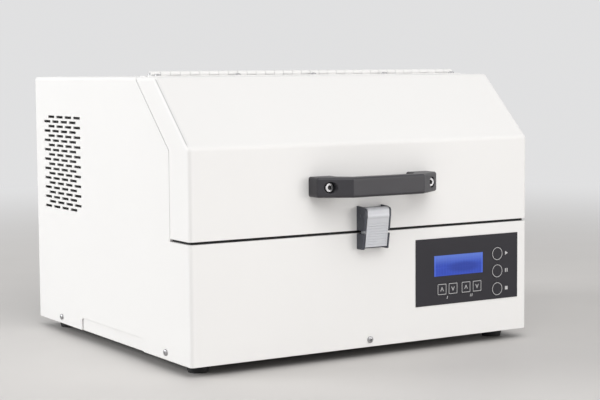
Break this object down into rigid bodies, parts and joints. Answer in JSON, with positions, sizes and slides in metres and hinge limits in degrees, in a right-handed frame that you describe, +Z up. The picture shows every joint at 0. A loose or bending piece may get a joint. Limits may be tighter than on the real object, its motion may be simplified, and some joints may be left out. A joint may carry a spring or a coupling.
{
  "type": "mixer mill",
  "caption": "Bench mixer mill: sheet-metal housing, sloped hood on a piano hinge with handle and draw latch, and a belt-driven figure-of-eight clamp arm inside.",
  "frame": {"origin": "on the bench under the middle of the overall box", "axes": "+Z up, front panel faces -Y, +X to the right seen from the front"},
  "size_m": [0.474, 0.4768, 0.3345],
  "materials": {
    "white_coat": "fine-textured powder coat, near white",
    "grey_steel": "zinc-plated steel",
    "bright_steel": "satin steel",
    "latch_silver": "satin cast metal",
    "latch_black": "black satin",
    "handle_grey": "dark grey, fine grain",
    "rubber_black": "matte",
    "gasket_black": "matte foam rubber",
    "overlay_charcoal": "fine matte film",
    "key_charcoal": "fine matte film",
    "display_blue": "backlit blue window",
    "module_black": "black housing",
    "board_green": "solder mask",
    "foam_grey": "open-cell acoustic foam",
    "cast_grey": "machined and painted casting",
    "arm_aluminium": "machined",
    "nylon_white": "natural nylon",
    "belt_black": "ribbed belt",
    "motor_grey": "grey enamel",
    "fan_black": "moulded",
    "magnet_grey": "sealed plastic case"
  },
  "bodies": {
    "root": {"base_pan": "white_coat", "outer_cover": "white_coat", "rear_panel": "white_coat", "panel_screws": "bright_steel", "feet": "rubber_black", "foot_screws": "bright_steel", "hinge_leaf_cover": "white_coat", "hinge_pin": "bright_steel", "hinge_screws_cover": "bright_steel", "slot_gasket": "gasket_black", "chamber_liner": "grey_steel", "hood_sensor": "magnet_grey", "latch_keeper": "latch_black", "control_overlay": "overlay_charcoal", "display_window": "display_blue", "display_module": "module_black", "control_board": "board_green", "board_posts": "bright_steel", "machine_frame": "cast_grey", "isolators": "rubber_black", "frame_bolts": "bright_steel", "shaft_bearings": "bright_steel", "tail_guide": "nylon_white", "drive_belt": "belt_black", "motor_housing": "motor_grey", "fan_frame": "fan_black", "fan_guard": "bright_steel", "power_inlet": "module_black", "power_board": "board_green"},
    "hood": {"hood_shell": "white_coat", "hood_foam": "foam_grey", "hood_magnet": "magnet_grey", "hinge_leaf_hood": "white_coat", "hinge_screws_hood": "bright_steel", "bridge_handle": "handle_grey", "handle_screws": "bright_steel", "latch_housing": "latch_black", "lever_pin": "bright_steel"},
    "lever": {"latch_lever": "latch_silver", "hook_pin": "bright_steel"},
    "hook": {"latch_hook": "bright_steel"},
    "shaft": {"main_shaft": "bright_steel", "driven_pulley": "arm_aluminium"},
    "arm": {"clamp_arm": "arm_aluminium", "arm_bearings": "bright_steel"},
    "jaw": {"clamp_jaw": "bright_steel"},
    "screw": {"clamp_screw": "bright_steel", "crossbar": "bright_steel"},
    "rotor": {"motor_rotor": "bright_steel", "motor_pulley": "arm_aluminium"},
    "fan": {"fan_rotor": "fan_black"},
    "rocker": {"switch_rocker": "module_black"},
    "drawer": {"fuse_drawer": "module_black"},
    "minutes_up": {"minutes_up_key": "key_charcoal"},
    "minutes_down": {"minutes_down_key": "key_charcoal"},
    "seconds_up": {"seconds_up_key": "key_charcoal"},
    "seconds_down": {"seconds_down_key": "key_charcoal"},
    "start": {"start_key": "key_charcoal"},
    "pause": {"pause_key": "key_charcoal"},
    "stop": {"stop_key": "key_charcoal"}
  },
  "joints": [
    {"name": "hood_hinge", "type": "hinge", "parent": "root", "child": "hood", "pos_m": [0, -0.0671, 0.3314], "axis": [-1, 0, 0], "range_deg": [0, 175]},
    {"name": "lever_swing", "type": "hinge", "parent": "hood", "child": "lever", "pos_m": [0, -0.2076, 0.167], "axis": [-1, 0, 0], "range_deg": [0, 60]},
    {"name": "hook_swing", "type": "hinge", "parent": "lever", "child": "hook", "pos_m": [0, -0.2076, 0.1714], "axis": [-1, 0, 0], "range_deg": [-48, 0]},
    {"name": "shaft_spin", "type": "hinge", "parent": "root", "child": "shaft", "pos_m": [0, -0.0724, 0.102], "axis": [1, 0, 0], "continuous": true},
    {"name": "arm_nutation", "type": "hinge", "parent": "shaft", "child": "arm", "pos_m": [0, -0.0724, 0.102], "axis": [0.9781, 0.2079, 0], "continuous": true},
    {"name": "motor_spin", "type": "hinge", "parent": "root", "child": "rotor", "pos_m": [0, 0.1026, 0.09], "axis": [1, 0, 0], "continuous": true},
    {"name": "jaw_slide", "type": "slide", "parent": "arm", "child": "jaw", "axis": [-0.9781, -0.2079, 0], "range_m": [0, 0.014]},
    {"name": "screw_turn", "type": "hinge", "parent": "jaw", "child": "screw", "pos_m": [0, -0.0724, 0.212], "axis": [-0.9781, -0.2079, 0], "range_deg": [0, 1440]},
    {"name": "fan_spin", "type": "hinge", "parent": "root", "child": "fan", "pos_m": [-0.11, 0.2206, 0.247], "axis": [0, 1, 0], "continuous": true},
    {"name": "rocker_tilt", "type": "hinge", "parent": "root", "child": "rocker", "pos_m": [0.15, 0.2331, 0.11], "axis": [-1, 0, 0], "range_deg": [0, 16]},
    {"name": "drawer_slide", "type": "slide", "parent": "root", "child": "drawer", "axis": [0, 1, 0], "range_m": [0, 0.018]},
    {"name": "minutes_up_press", "type": "slide", "parent": "root", "child": "minutes_up", "axis": [0, 1, 0], "range_m": [0, 0.0005], "stiffness_N_per_m": 600},
    {"name": "minutes_down_press", "type": "slide", "parent": "root", "child": "minutes_down", "axis": [0, 1, 0], "range_m": [0, 0.0005], "stiffness_N_per_m": 600},
    {"name": "seconds_up_press", "type": "slide", "parent": "root", "child": "seconds_up", "axis": [0, 1, 0], "range_m": [0, 0.0005], "stiffness_N_per_m": 600},
    {"name": "seconds_down_press", "type": "slide", "parent": "root", "child": "seconds_down", "axis": [0, 1, 0], "range_m": [0, 0.0005], "stiffness_N_per_m": 600},
    {"name": "start_press", "type": "slide", "parent": "root", "child": "start", "axis": [0, 1, 0], "range_m": [0, 0.0005], "stiffness_N_per_m": 600},
    {"name": "pause_press", "type": "slide", "parent": "root", "child": "pause", "axis": [0, 1, 0], "range_m": [0, 0.0005], "stiffness_N_per_m": 600},
    {"name": "stop_press", "type": "slide", "parent": "root", "child": "stop", "axis": [0, 1, 0], "range_m": [0, 0.0005], "stiffness_N_per_m": 600}
  ],
  "couplings": [
    {"joint": "hook_swing", "follows": "lever_swing", "ratio": -0.8},
    {"joint": "arm_nutation", "follows": "shaft_spin", "ratio": -1},
    {"joint": "motor_spin", "follows": "shaft_spin", "ratio": 1.5},
    {"joint": "screw_turn", "follows": "jaw_slide", "rad_per_m": 1795.2}
  ]
}
